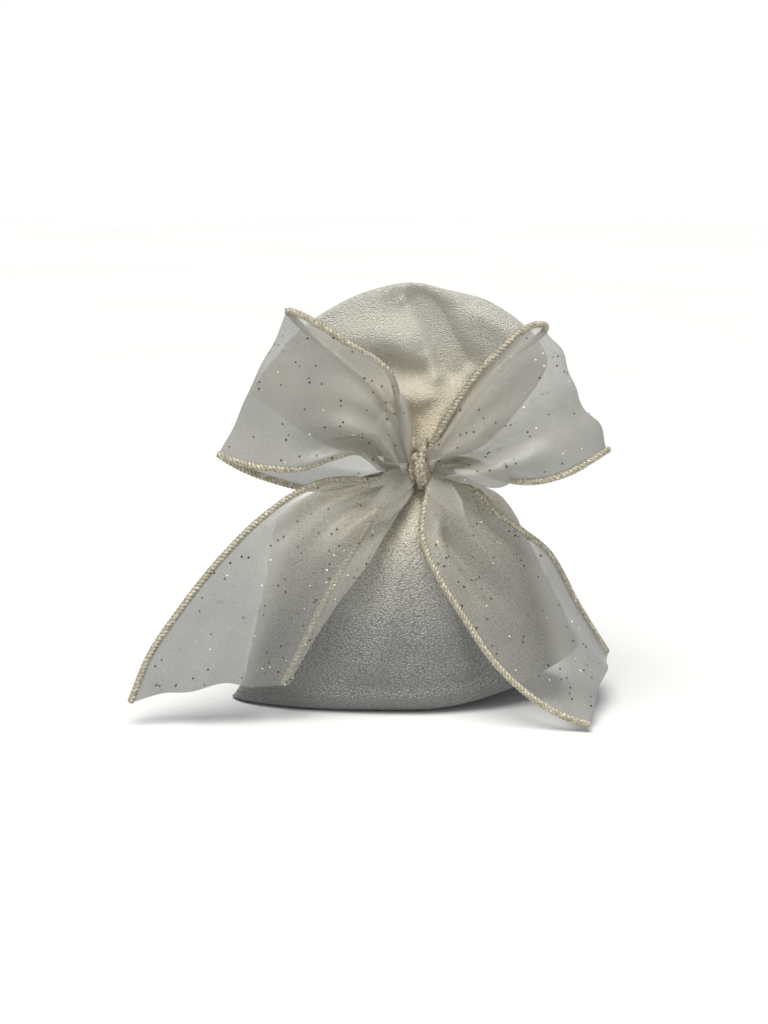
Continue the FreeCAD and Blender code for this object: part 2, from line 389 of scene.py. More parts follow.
def knotted_material():
    """The knot's face, where the cream yarn of the edge is wound and glints."""
    material, tree, shader = nodes_of("knotted_ribbon")
    grain = noise(tree, (2100, 2100, 1500), 2.0, 0.65, 0.8)
    colour = ramp(tree, grain, [
        (0.34, (0.13, 0.11, 0.07)), (0.54, (0.34, 0.30, 0.215)), (0.68, (0.80, 0.72, 0.56))])
    tree.links.new(colour, shader.inputs["Base Color"])
    shader.inputs["Roughness"].default_value = 0.38
    bump(tree, shader, grain, 1.0, 0.3)
    return material


def flake_material(name, low, high, metallic, glow):
    """Glitter between two colours; glow stands for the light that a flake throws back."""
    material, tree, shader = nodes_of(name)
    tree.links.new(ramp(tree, noise(tree, (400, 400, 400), 0.0), [(0.35, low), (0.65, high)]),
                   shader.inputs["Base Color"])
    shader.inputs["Metallic"].default_value = metallic
    shader.inputs["Roughness"].default_value = 0.25
    shader.inputs["Emission Color"].default_value = (*high, 1.0)
    shader.inputs["Emission Strength"].default_value = glow
    return material


def wadding_material():
    """Off-white polyester stuffing."""
    material, tree, shader = nodes_of("wadding")
    fluff = noise(tree, (500, 500, 500), 4.0, 0.7)
    tree.links.new(ramp(tree, fluff, [(0.3, (0.72, 0.71, 0.68)), (0.7, (0.86, 0.85, 0.82))]),
                   shader.inputs["Base Color"])
    shader.inputs["Roughness"].default_value = 0.95
    bump(tree, shader, fluff, 1.0, 0.8)
    return material


crepe = crepe_material()
# In each organza below, the third colour is a painted glow by the knot, and the last numbers raise the opacity
# outwards as painted shade.
loop_organza = organza_material(
    "loop_organza", (0.315, 0.315, 0.29), (0.39, 0.382, 0.345), (0.45, 0.43, 0.37), 26.0,
    (0.0, -1.1, 8.0, 24.0, 0.55, 0.76))
tail_organza = organza_material(
    "tail_organza", (0.238, 0.242, 0.228), (0.288, 0.288, 0.268), (0.475, 0.452, 0.39), 50.0,
    (-3.3, 0.27, 20.5, 27.0, 0.41, 0.90))
thread = thread_material()
packed = packed_material()
knotted = knotted_material()
dark_flake = flake_material("dark_flake", (0.035, 0.03, 0.02), (0.11, 0.09, 0.06), 0.4, 0.0)
gold_flake = flake_material("gold_flake", (0.85, 0.74, 0.50), (1.0, 0.93, 0.76), 0.1, 0.45)
wadding_look = wadding_material()


# ---------------------------------------------------------------- the pouch's fabric

def ridge(x, z, path, width, height):
    """A soft ridge of that height along a path of (x, z) points, or a valley where height is negative."""
    nearest = np.full(np.shape(x), 1e9)
    for (ax, az), (bx, bz) in zip(path[:-1], path[1:]):
        dx = bx - ax
        dz = bz - az
        t = np.clip(((x - ax) * dx + (z - az) * dz) / (dx * dx + dz * dz), 0.0, 1.0)
        nearest = np.minimum(nearest, np.hypot(x - ax - t * dx, z - az - t * dz))
    return height * np.exp(-((nearest / width) ** 2))


# height at the middle, left side x, right side x, left side height, right side height, half depth,
# and how far forward the left side stands
BAG_RINGS = (
    (0.4, -46.8, 41.0, 0.5, 11.2, 0.0, 8.0),
    (0.4, -46.6, 40.9, 0.7, 11.6, 9.5, 8.0),
    (0.4, -45.9, 40.7, 1.4, 12.4, 16.6, 7.8),
    (0.8, -44.7, 40.3, 3.2, 13.4, 19.6, 7.2),
    (3.2, -43.6, 39.6, 5.8, 14.6, 21.6, 6.2),
    (8.2, -42.7, 38.5, 9.8, 17.0, 22.6, 4.8),
    (14.0, -41.6, 37.0, 15.0, 20.4, 22.7, 3.2),
    (21.0, -40.1, 34.6, 21.6, 25.2, 22.8, 1.6),
    (28.5, -38.4, 31.6, 28.8, 30.8, 22.4, 0.6),
    (37.0, -36.9, 28.3, 37.4, 37.6, 20.8, 0.0),
    (44.4, -35.0, 24.6, 44.8, 44.4, 17.6, 0.0),
    (50.0, -27.0, 20.4, 50.2, 50.0, 13.0, 0.0),
    (53.6, -14.6, 12.6, 53.7, 53.6, 8.8, 0.0),
    (56.4, -6.7, 6.5, 56.4, 56.4, 6.2, 0.0),
    (CROWN_START, -NECK_RADIUS, NECK_RADIUS, CROWN_START, CROWN_START, NECK_RADIUS, 0.0),
)

# the crown's rim, from its right end over the top to its left end
RIM = ((28.8, 77.5), (31.2, 83.0), (29.6, 87.8), (25.1, 92.6), (20.1, 96.2), (15.6, 98.6), (11.1, 99.8),
       (5.2, 101.2), (1.1, 102.3), (-2.5, 102.6), (-6.1, 102.2), (-12.4, 100.6), (-16.0, 99.2),
       (-20.5, 96.9), (-25.2, 94.0), (-30.4, 89.8), (-34.6, 85.0), (-38.8, 79.8), (-41.0, 75.5))

# ridges and valleys of the crown's front: path, width, height towards the viewer
CROWN_FOLDS = (
    (((-17.0, 90.0), (-10.0, 90.5), (-3.0, 90.0)), 4.0, 1.8),
    (((-8.4, 83.4), (-4.0, 82.0), (-0.6, 81.2)), 3.0, -3.1),
    (((-9.0, 75.4), (-4.7, 75.8), (0.6, 76.0), (4.6, 77.0), (11.0, 79.2)), 3.2, 1.9),
    (((-3.5, 99.0), (-0.6, 93.4), (2.4, 87.5), (3.8, 81.0)), 2.2, 3.5),
    (((-5.0, 97.5), (-1.2, 91.5), (0.6, 86.5)), 3.2, 1.3),
    (((-1.6, 98.2), (2.9, 91.4), (6.9, 84.6), (11.2, 79.6)), 5.4, -7.2),
    (((16.0, 96.0), (22.8, 91.0)), 4.0, 1.9),
    (((1.0, 63.6), (3.5, 67.7), (6.1, 71.4), (12.2, 80.9)), 2.3, 3.2),
    (((0.4, 71.6), (2.0, 74.0)), 1.3, -0.4),
    (((-14.0, 70.5), (-24.0, 80.0)), 3.4, -1.8),
    (((-9.0, 69.0), (-17.0, 79.5)), 3.0, 1.2),
)

# folds of the crown's back, which fan out from the neck
CROWN_BACK_FOLDS = (
    (((-1.0, 64.0), (-6.5, 82.0), (-9.0, 97.0)), 3.2, 2.1),
    (((1.5, 66.0), (2.5, 84.0), (3.5, 98.0)), 3.4, -2.5),
    (((3.0, 65.0), (11.0, 80.0), (16.5, 94.0)), 3.0, 2.0),
    (((5.0, 66.0), (18.0, 76.0), (25.5, 83.0)), 3.2, -1.8),
    (((-4.0, 66.0), (-16.0, 80.0), (-22.0, 91.5)), 3.4, -2.2),
    (((-6.0, 66.0), (-23.0, 76.0), (-33.0, 81.0)), 3.2, 1.4),
    (((-12.0, 86.0), (-4.0, 88.5)), 3.6, -1.0),
    (((7.0, 88.0), (14.0, 85.0)), 3.4, 0.9),
)

# folds of the bag's front and back, the same way
BAG_FOLDS = (
    (((-0.6, 54.0), (-2.8, 43.5)), 3.0, 1.3),
    (((-0.6, 54.0), (-5.0, 37.0), (-9.4, 22.0), (-11.5, 13.0)), 4.2, 1.1),
    (((3.0, 44.0), (6.5, 30.0), (8.5, 21.0), (11.5, 12.0)), 2.6, 0.8),
    (((-8.5, 52.0), (-15.0, 42.0), (-20.0, 27.0)), 3.2, 0.9),
    (((-5.8, 51.0), (-10.4, 40.0), (-13.5, 30.0)), 2.8, -0.9),
    (((5.2, 50.0), (9.0, 40.0), (13.0, 30.0)), 2.8, -0.8),
    (((-45.0, 3.0), (-36.0, 7.5), (-28.0, 9.0)), 2.2, 0.8),
    (((-44.0, 7.0), (-33.0, 13.0)), 2.4, -0.7),
    (((39.5, 13.0), (30.0, 14.5), (22.0, 13.0)), 2.4, 0.8),
    (((39.0, 18.0), (30.0, 21.0)), 2.6, -0.7),
    (((-30.0, 4.6), (0.0, 4.0), (22.0, 7.0)), 2.0, 0.5),
)
BAG_BACK_FOLDS = (
    (((-2.0, 53.0), (-5.0, 42.0), (-7.0, 26.0)), 3.0, 1.4),
    (((4.0, 52.0), (9.0, 42.0), (11.0, 30.0)), 3.0, -1.1),
    (((8.0, 51.0), (16.0, 41.0), (21.0, 28.0)), 3.0, 1.0),
    (((-9.0, 51.0), (-17.0, 43.0), (-22.0, 31.0)), 3.0, -0.9),
    (((-16.0, 50.0), (-26.0, 40.0)), 2.8, 0.9),
    (((-44.0, 3.5), (-32.0, 9.0)), 2.6, 0.8),
    (((39.0, 13.5), (28.0, 17.0)), 2.6, 0.9),
    (((-14.0, 20.0), (4.0, 17.0)), 5.0, -0.6),
)


def folds(x, z, front, front_list, back_list):
    """The height of the listed folds at each point, front and back apart."""
    total = np.zeros(np.shape(x))
    for path, width, height in front_list:
        total += front * ridge(x, z, path, width, height)
    for path, width, height in back_list:
        total += (1 - front) * ridge(x, z, path, width, height)
    return total


def gathers(angle, z):
    """Pleats drawn together at the neck, which open and fade down the shoulders and up the crown."""
    below = smooth_step(30.0, 53.0, z)
    above = 1 - smooth_step(62.0, 78.0, z)
    strength = below * above
    fine = np.cos(15 * angle + 0.9 + 0.02 * z) * smooth_step(48.0, 55.0, z)
    coarse = np.cos(9 * angle + 0.4 + 0.7 * np.sin(2 * angle))
    broad = np.cos(5 * angle + 1.9)
    flat_sides = 1 - 0.85 * smooth_step(0.75, 0.97, np.abs(np.cos(angle))) * (1 - smooth_step(52.0, 55.0, z))
    return strength * flat_sides * (0.9 * coarse + 0.35 * fine + 0.45 * broad)


def lumps(x, y, z, seed=11, count=26):
    """Low swellings where the stuffing pushes the fabric out, and hollows between them."""
    rng = random.Random(seed)
    total = np.zeros(np.shape(x))
    for _ in range(count):
        centre = (rng.uniform(-38, 34), rng.choice((-20, 20)), rng.uniform(6, 44))
        size = rng.uniform(5, 10)
        height = rng.uniform(-0.55, 0.6)
        away = ((x - centre[0]) ** 2 + (y - centre[1]) ** 2 + (z - centre[2]) ** 2) / size ** 2
        total += height * np.exp(-away)
    return total


def bag_grid(rows, columns, shrink=0.0):
    """Rings from the bottom fold up to the neck; shrink draws them in evenly, in mm."""
    table = hermite(BAG_RINGS, fine=16)
    table = np.stack([np.interp(np.linspace(0, 1, rows), np.linspace(0, 1, len(table)), table[:, k])
                      for k in range(7)], 1)[:, :, None]
    middle, left, right, left_height, right_height, depth, forward = [table[:, k] for k in range(7)]
    angle = np.linspace(0.0, 2 * math.pi, columns, endpoint=False)[None, :]
    across = np.cos(angle)
    x = (left + right) / 2 + (right - left - 2 * shrink) / 2 * across
    y = -np.maximum(depth - shrink, 0.0) * np.sin(angle) - forward * np.clip(-across, 0, 1) ** 2
    lift_right = (right_height - middle) * np.clip(across, 0, 1) ** 2
    lift_left = (left_height - middle) * np.clip(-across, 0, 1) ** 5
    z = middle + lift_right + lift_left
    return np.stack([x, y, z + 0 * x], -1), angle


def outward(grid):
    """The direction away from the inside at each point of a closed set of rings."""
    along = np.gradient(grid, axis=0)
    around = (np.roll(grid, -1, axis=1) - np.roll(grid, 1, axis=1)) / 2
    direction = unit(np.cross(around, along))
    centre = grid.mean(axis=1, keepdims=True)
    if np.sum(direction * (grid - centre)) < 0:
        direction = -direction
    return direction


def bag_fabric(rows, columns):
    """The bag's cloth with its folds, lumps, gathers and puckered side seams."""
    grid, angle = bag_grid(rows, columns)
    x, y, z = grid[..., 0], grid[..., 1], grid[..., 2]
    front = smooth_step(-0.25, 0.25, np.sin(angle)) + 0 * x
    across = np.abs(np.cos(angle)) + 0 * x
    relief = folds(x, z, front, BAG_FOLDS, BAG_BACK_FOLDS) + lumps(x, y, z)
    relief *= 1 - smooth_step(0.86, 1.0, across)
    relief *= smooth_step(0.3, 4.0, z) * (1 - smooth_step(52.0, 56.0, z))
    relief += gathers(angle, z)
    puckers = np.cos(2 * math.pi * z / 6.1 + 3 * np.sign(x)) + 0.6 * np.cos(2 * math.pi * z / 3.7 + 1.1)
    seam = 0.12 * puckers * smooth_step(0.90, 0.985, across) - 0.5 * smooth_step(0.9985, 1.0, across)
    relief += seam * smooth_step(3.0, 9.0, z) * (1 - smooth_step(44.0, 50.0, z))
    grid = grid + outward(grid) * relief[..., None]
    grid[..., 2] = np.maximum(grid[..., 2], 0.35)
    return grid


def crown_fabric(rows, columns, start):
    """The fan above the neck: rays from the neck's ring to the rim, with the front and back 2 to 4 mm apart.
    Gives its rows, and edge, which is 0 at the fan's sides and 1 at its middle."""
    angle = np.linspace(0.0, 2 * math.pi, columns, endpoint=False)
    share = np.where(angle <= math.pi, angle, 2 * math.pi - angle) / math.pi
    rim_line = resample(hermite(RIM), 400)
    rim = np.stack([np.interp(share, np.linspace(0, 1, 400), rim_line[:, k]) for k in range(2)], 1)
    reach = np.linspace(0.0, 1.0, rows)[:, None]
    x = start[None, :, 0] + (rim[None, :, 0] - start[None, :, 0]) * reach
    z = start[None, :, 2] + (rim[None, :, 1] - start[None, :, 2]) * reach ** 0.94
    z = z - 5.6 * np.sin(math.pi * reach ** 0.85) * np.abs(np.cos(math.pi * share))[None, :] ** 5
    facing = np.sign(np.sin(angle))[None, :]
    edge = np.abs(np.sin(math.pi * share))[None, :] ** 0.6
    from_neck = np.abs(start[None, :, 1]) * (1 - reach) ** 2.2
    belly = 4.3 * np.sin(math.pi * reach ** 0.72) ** 0.9 * edge
    gap = (1.1 + 1.3 * edge) * edge * smooth_step(0.5, 1.0, reach)
    front = (facing > 0) + 0 * x
    relief = folds(x, z, front, CROWN_FOLDS, CROWN_BACK_FOLDS)
    relief *= edge * (1 - 0.75 * smooth_step(0.90, 1.0, reach))
    relief += 0.3 * gathers(angle[None, :], z) * edge
    offset = np.maximum(from_neck + belly + gap + relief, 0.25 * edge)
    drift = 1.3 * np.sin(7.5 * share[None, :] + 0.6) * reach ** 2 * edge
    y = -facing * offset + drift
    return np.stack([x, y, z], -1), edge


def hem_fabric(crown, edge, rows=12, depth=9.0):
    """The rim rolls over inwards and runs back down inside the crown."""
    rim = crown[-1]
    step = unit(crown[-1] - crown[-6])
    inward = np.stack([0 * rim[:, 0], -np.sign(rim[:, 1] - crown[-1, :, 1].mean()), 0 * rim[:, 0]], 1)
    thick = 0.95 * edge[0][:, None]
    turned = []
    for k in range(1, 5):
        bend = math.pi * k / 5
        turned.append(rim + step * 0.42 * math.sin(bend) + inward * thick * (1 - math.cos(bend)) / 2)
    spacing = np.linalg.norm(crown[-1] - crown[-2], axis=1).mean()
    for k in range(rows):
        source = crown[-1 - max(0, int(round(k * depth / rows / spacing)))]
        turned.append(source + inward * thick)
    return np.array(turned)


def pouch_fabric():
    """The bag, the neck, the crown and its hem as one continuous cloth."""
    columns = 360
    bag = bag_fabric(150, columns)
    crown, edge = crown_fabric(96, columns, bag[-1])
    hem = hem_fabric(crown, edge)
    grid = np.vstack([bag, crown[1:], hem])
    piece = grid_object("pouch_fabric", grid, crepe, closed=True)
    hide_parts("front_panel", "back_panel", "base_fold", "left_side_seam", "right_side_seam",
                "neck_gather", "crown_root", "crown_front", "crown_back", "mouth_hem_front", "mouth_hem_back")
    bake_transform(piece)


def wadding():
    """The stuffing, a lumpy pad 2 mm inside the cloth."""
    grid, angle = bag_grid(56, 96, shrink=2.6)
    grid = grid[: 46]
    grid[..., 2] = 2.2 + grid[..., 2] * 0.93
    grid = grid + outward(grid) * (0.5 * np.cos(11 * angle) * np.cos(grid[..., 2] / 3.1))[..., None]
    top = grid[-1].mean(axis=0)
    caps = [top + (grid[-1] - top) * scale for scale in (0.8, 0.55, 0.3, 0.05)]
    piece = grid_object("wadding", np.vstack([grid, np.array(caps)]), wadding_look, closed=True)
    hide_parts("filling")
    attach(piece, "pouch")


# ---------------------------------------------------------------- ribbons

def cross_sections(lines, shares, columns):
    """Rows that run straight from guide line to guide line, with their corners rounded off. shares are the
    places of the guide lines across the ribbon."""
    across = np.linspace(0.0, 1.0, columns)
    guides = np.stack(lines, 1)
    grid = np.zeros((len(guides), columns, 3))
    for row in range(len(guides)):
        for axis in range(3):
            grid[row, :, axis] = np.interp(across, shares, guides[row, :, axis])
    for _ in range(6):
        grid[:, 1:-1] = (grid[:, :-2] + 2 * grid[:, 1:-1] + grid[:, 2:]) / 4
    return grid


def towards_viewer(grid, rows):
    """Normals of a ribbon, turned so that those of the first rows face -Y."""
    normal = unit(np.cross(np.gradient(grid, axis=0), np.gradient(grid, axis=1)))
    if normal[:rows, :, 1].mean() > 0:
        normal = -normal
    return normal


def softened(field, passes):
    """Evens out a grid of values, in place."""
    for _ in range(passes):
        field[1:-1] = (field[:-2] + 2 * field[1:-1] + field[2:]) / 4
        field[:, 1:-1] = (field[:, :-2] + 2 * field[:, 1:-1] + field[:, 2:]) / 4
    return field


def pleated(grid, spread, shares, phase, front_rows, bulge, take_up, pleats):
    """Adds the folds that take up the ribbon's spare width: flat ones laid over each other at the knot, and a
    few soft standing ones further out. spread is 0 at the knot and 1 where the ribbon lies open, for each
    row. The folds of each row are as high as it takes for the row to be take_up times the ribbon's width,
    measured along the cloth."""
    columns = grid.shape[1]
    across = np.linspace(0.0, 1.0, columns)[None, :]
    open_share = np.clip((across - shares[0]) / (shares[1] - shares[0]), 0.0, 1.0)
    window = np.sin(math.pi * open_share) ** 0.5
    spread = spread[:, None]
    close = np.exp(-((spread / 0.13) ** 2))
    wide = np.sin(2 * math.pi * 1.9 * open_share + 1.7 * phase + 0.9 * spread)
    medium = np.sin(2 * math.pi * 3.4 * open_share + 2.3 * phase - 1.4 * spread)
    standing = (1 - close) * (0.9 * wide + 0.55 * medium) * window
    lying = close * np.sin(2 * math.pi * pleats * open_share + phase) * window
    outward_bulge = bulge[:, None] * np.sin(math.pi * open_share)
    normal = unit(softened(towards_viewer(grid, front_rows), 6))
    stacking = 2.2 * close * (0.5 - open_share) * window
    grid = grid + normal * (outward_bulge + stacking)[..., None]
    sideways = unit(grid[:, int(shares[1] * (columns - 1))] - grid[:, 0])[:, None, :]
    pattern = normal * standing[..., None] + sideways * lying[..., None]
    width = row_lengths(grid)
    wanted = np.maximum(width ** 2 * 1.01, (take_up * RIBBON_WIDTH) ** 2)
    height = np.full(len(grid), 1.0)
    for _ in range(3):
        longer = row_lengths(grid + height[:, None, None] * pattern)
        height = height * np.sqrt((wanted - width ** 2) / np.maximum(longer ** 2 - width ** 2, 1e-6))
    for _ in range(8):
        height[1:-1] = (height[:-2] + 2 * height[1:-1] + height[2:]) / 4
    return grid + height[:, None, None] * pattern


def row_lengths(grid):
    """Each row's length along the cloth."""
    return np.linalg.norm(np.diff(grid, axis=1), axis=2).sum(axis=1)


def flakes(name, grid, count, seed):
    """Glitter: small six-sided flakes lying on the ribbon, dark ones and gold ones."""
    rng = random.Random(seed)
    normal = towards_viewer(grid, 3)
    points = []
    faces = []
    tones = []
    for _ in range(count):
        row = rng.randrange(4, grid.shape[0] - 2)
        column = rng.randrange(2, grid.shape[1] - 2)
        up = normal[row, column] + np.array([rng.uniform(-0.3, 0.3) for _ in range(3)])
        up = up / np.linalg.norm(up)
        side = np.cross(up, (0.3, 0.5, 0.81))
        side = side / np.linalg.norm(side)
        other = np.cross(up, side)
        tone = 0 if rng.random() < 0.84 else 1
        radius = rng.uniform(0.20, 0.30) - 0.06 * tone
        centre = grid[row, column] + up * rng.choice((-0.12, 0.12))
        first = len(points)
        for corner in range(6):
            turn = math.pi * corner / 3 + rng.uniform(-0.08, 0.08)
            points.append(centre + radius * (math.cos(turn) * side + math.sin(turn) * other))
        faces.append([first + corner for corner in range(6)])
        tones.append(tone)
    return mesh_object(name, np.array(points), np.array(faces), [dark_flake, gold_flake], tones)


def on_loop(piece, side):
    """Rides on its loop, and is drawn in towards the knot as the other side's tail is pulled."""
    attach(piece, side + "_loop")
    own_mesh(piece)


def bump_between(share, end):
    """Rises from 0 and falls back to 0 at end."""
    return np.sin(math.pi * np.clip(share / end, 0.0, 1.0)) ** 0.6


def loop(side, top, bottom, turned_top, turned_bottom, phase, seed):
    """One loop of the bow: out from the knot to its outer fold and back behind, with a cord on each edge.
    top and bottom are the cords' points and the index of the outer fold; turned_* say how far the cloth
    stands out past the cord near the knot, and up to what share of the front leaf."""
    front_rows = 84
    back_rows = 76
    upper = in_two_parts(*top, front_rows, back_rows)
    lower = in_two_parts(*bottom, front_rows, back_rows)
    front_share = np.linspace(0, 1, front_rows + 1)
    share = np.concatenate([front_share, 1 + np.linspace(0, 1, back_rows + 1)[1:]])
    guides = [upper]
    for cord, (push, end) in ((upper, turned_top), (lower, turned_bottom)):
        guides.append(cord + bump_between(share, end)[:, None] * np.array(push))
    guides.append(lower)
    shares = (0.0, 0.09, 0.91, 1.0)
    grid = cross_sections(guides, shares, 96)
    spread = np.where(share <= 1, share, 2 - share)
    bulge = np.where(share <= 1, 1.8, 0.9) * np.sin(math.pi * np.clip(spread, 0, 1)) ** 0.7
    take_up = np.interp(spread, (0.0, 0.16), (0.30, 0.86))
    grid = pleated(grid, spread, (0.05, 0.95), phase, front_rows // 2, bulge, take_up, 2.6)
    ribbon = grid_object(side + "_loop_ribbon", grid, loop_organza)
    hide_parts(side + "_loop_front", side + "_loop_back")
    upper_cord = cord_object(side + "_loop_top_cord", upper)
    lower_cord = cord_object(side + "_loop_bottom_cord", lower)
    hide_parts(side + "_loop_top_edge")
    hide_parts(side + "_loop_bottom_edge")
    glitter = flakes(side + "_loop_glitter", grid, 210, seed)
    for piece in (ribbon, upper_cord, lower_cord, glitter):
        on_loop(piece, side)


def tail(side, outer, fold, inner, bulge, phase, seed, start, middle, end, cut):
    """One tail: a bundle from the knot to the hinge line, then the ribbon down to its raw cut end. outer and
    inner are its cords' points, and fold is where the cloth turns under, beside the inner cord. bulge is how
    far it stands out along its length. start, middle and end are not used. cut is how much the raw end
    bows and waves."""
    root_rows = 20
    tail_rows = 150
    root_share = 0.10
    fold_at = 0.88
    lines = [in_two_parts(*line, root_rows, tail_rows) for line in (outer, fold, inner)]
    grid = cross_sections(lines, (0.0, fold_at, 1.0), 100)
    root_part = root_share * np.linspace(0, 1, root_rows + 1)
    tail_part = root_share + (1 - root_share) * np.linspace(0, 1, tail_rows + 1)[1:]
    share = np.concatenate([root_part, tail_part])
    swell = np.interp(share, np.linspace(0, 1, len(bulge)), bulge)
    take_up = np.interp(share, (0.0, 0.05, root_share, 0.16), (0.45, 1.0, 1.0, 0.84))
    grid = pleated(grid, share, (0.0, fold_at), phase, tail_rows, swell, take_up, 3.2)
    grid = cut_end(grid, root_rows, *cut)
    gather = side + "_tail_gather"
    parts = (
        ("root", slice(0, root_rows + 1), "pouch", gather, start, middle, (gather,)),
        ("ribbon", slice(root_rows, None), gather, side + "_tail", middle, end, (side + "_tail",)),
    )
    cords = {"outer": lines[0], "inner": lines[2]}
    for part, rows, parent, child, bend_start, bend_end, stands_for in parts:
        ribbon = grid_object(f"{side}_tail_{part}", grid[rows], tail_organza)
        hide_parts(*stands_for)
        pieces = [ribbon]
        for edge, line in cords.items():
            radius = 0.55 if (part, edge) == ("root", "outer") else CORD_RADIUS
            cord = cord_object(f"{side}_tail_{part}_{edge}_cord", line[rows], radius)
            if part == "ribbon":
                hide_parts(f"{side}_tail_{edge}_edge")
            pieces.append(cord)
        if part == "ribbon":
            glitter = flakes(f"{side}_tail_glitter", grid[rows], 170, seed)
            pieces.append(glitter)
        for piece in pieces:
            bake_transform(piece)


def cut_end(grid, root_rows, lift, waves):
    """Shortens the ribbon's middle a little, so that the raw cut end is bowed and wavy."""
    rows = len(grid) - root_rows
    across = np.linspace(0.0, 1.0, grid.shape[1])
    arch = np.sin(math.pi * across)
    cut_back = lift * arch + waves * np.sin(math.pi * 5 * across) * arch
    steps = np.arange(rows, dtype=float)
    lower = grid[root_rows:].copy()
    for column in range(grid.shape[1]):
        at = steps * (1 - cut_back[column] * (steps / rows) ** 2)
        for axis in range(3):
            grid[root_rows:, column, axis] = np.interp(at, steps, lower[:, column, axis])
    return grid


# the cords of the loops and tails, and the fold beside the left tail's inner cord, each out from the knot
LEFT_LOOP_TOP = (
    (-1.4, -12.4, 60.0), (-3.6, -13.2, 61.6), (-5.1, -14.6, 65.0), (-5.5, -17.0, 73.1), (-6.0, -19.4, 80.0),
    (-7.3, -20.8, 83.6), (-9.9, -21.5, 86.2), (-16.6, -22.0, 90.4), (-24.3, -20.6, 95.2),
    (-28.4, -19.2, 97.2), (-31.2, -17.6, 97.8), (-28.6, -15.8, 94.6), (-19.6, -14.0, 86.4),
    (-12.1, -13.0, 79.5), (-6.5, -12.0, 72.1), (-3.6, -11.4, 64.0), (-1.4, -11.4, 59.8),
)
LEFT_LOOP_BOTTOM = (
    (-1.4, -12.6, 58.8), (-4.8, -12.9, 59.6), (-9.6, -14.8, 61.0), (-12.4, -18.0, 63.6),
    (-15.6, -20.6, 64.9), (-20.7, -22.0, 63.8), (-28.4, -22.5, 61.3), (-35.5, -22.0, 61.2),
    (-42.7, -20.5, 62.3), (-47.8, -18.3, 63.8), (-44.6, -16.4, 61.2), (-34.9, -14.6, 56.8),
    (-25.6, -13.6, 54.6), (-15.0, -12.2, 55.9), (-7.4, -11.2, 57.8), (-1.4, -11.6, 58.4),
)
RIGHT_LOOP_TOP = (
    (1.4, -12.4, 60.2), (2.2, -14.2, 63.6), (4.1, -16.5, 68.0), (8.3, -19.0, 76.0), (14.3, -20.5, 84.8),
    (18.2, -20.5, 88.7), (24.0, -18.9, 93.5), (27.2, -18.1, 94.7), (29.4, -17.3, 94.1), (28.9, -16.6, 92.9),
    (27.1, -15.4, 91.0), (24.0, -14.3, 88.5), (20.2, -13.6, 85.4), (13.3, -12.6, 77.0), (8.0, -12.0, 69.6),
    (4.2, -11.4, 63.2), (1.4, -11.4, 59.8),
)
RIGHT_LOOP_BOTTOM = (
    (1.4, -12.6, 58.8), (5.2, -14.5, 60.2), (12.3, -17.5, 60.7), (18.6, -20.5, 58.7), (22.5, -21.5, 58.0),
    (27.2, -22.0, 58.0), (31.9, -22.0, 59.0), (36.7, -21.4, 60.8), (40.5, -20.4, 62.9), (44.5, -18.6, 65.1),
    (41.0, -15.8, 62.2), (36.5, -14.8, 59.6), (31.9, -14.4, 57.5), (27.2, -14.0, 56.6), (22.5, -13.6, 57.2),
    (18.1, -13.2, 58.8), (14.2, -12.8, 60.6), (8.9, -12.2, 61.6), (4.0, -11.6, 61.0), (1.4, -11.6, 59.4),
)
LEFT_TAIL_OUTER = (
    (-1.2, -12.8, 58.4), (-3.6, -14.8, 59.0), (-7.4, -16.4, 58.6), (-12.6, -17.3, 57.4),
    (-17.9, -18.5, 57.9), (-23.8, -20.0, 57.3), (-28.5, -21.5, 55.5), (-37.9, -24.5, 49.3),
    (-47.3, -26.5, 40.1), (-56.8, -28.0, 28.3), (-64.2, -28.6, 17.4), (-69.2, -29.0, 5.6),
)
LEFT_TAIL_FOLD = (
    (-1.0, -13.4, 56.4), (-2.2, -16.8, 54.9), (-4.2, -19.0, 51.8), (-7.5, -20.8, 46.4),
    (-11.1, -24.2, 39.8), (-18.7, -26.5, 29.8), (-25.5, -27.5, 19.4), (-31.6, -28.0, 8.8),
)
LEFT_TAIL_INNER = (
    (-1.2, -13.0, 57.0), (-3.6, -14.8, 56.2), (-7.0, -16.6, 54.2), (-10.1, -18.6, 51.2),
    (-12.6, -20.9, 46.9), (-16.7, -22.8, 40.3), (-20.8, -24.4, 33.6), (-27.3, -26.0, 20.5),
    (-32.8, -26.8, 9.4),
)
RIGHT_TAIL_OUTER = (
    (1.2, -12.8, 58.2), (3.6, -15.3, 57.4), (7.6, -16.9, 57.0), (13.2, -16.8, 54.9), (18.4, -16.5, 49.3),
    (25.1, -13.6, 44.0), (31.5, -10.5, 38.2), (35.0, -8.2, 32.6), (38.4, -6.0, 25.8), (43.9, -3.0, 16.4),
    (48.1, -1.0, 9.7),
)
RIGHT_TAIL_INNER = (
    (1.0, -13.2, 56.8), (2.2, -16.6, 55.4), (1.0, -18.6, 51.4), (0.5, -21.2, 45.2), (2.2, -24.4, 39.7),
    (4.6, -26.0, 35.2), (10.5, -28.0, 26.0), (17.9, -30.0, 15.5), (26.6, -32.0, 7.8), (34.2, -33.4, 3.6),
    (40.2, -34.0, 1.9),
)


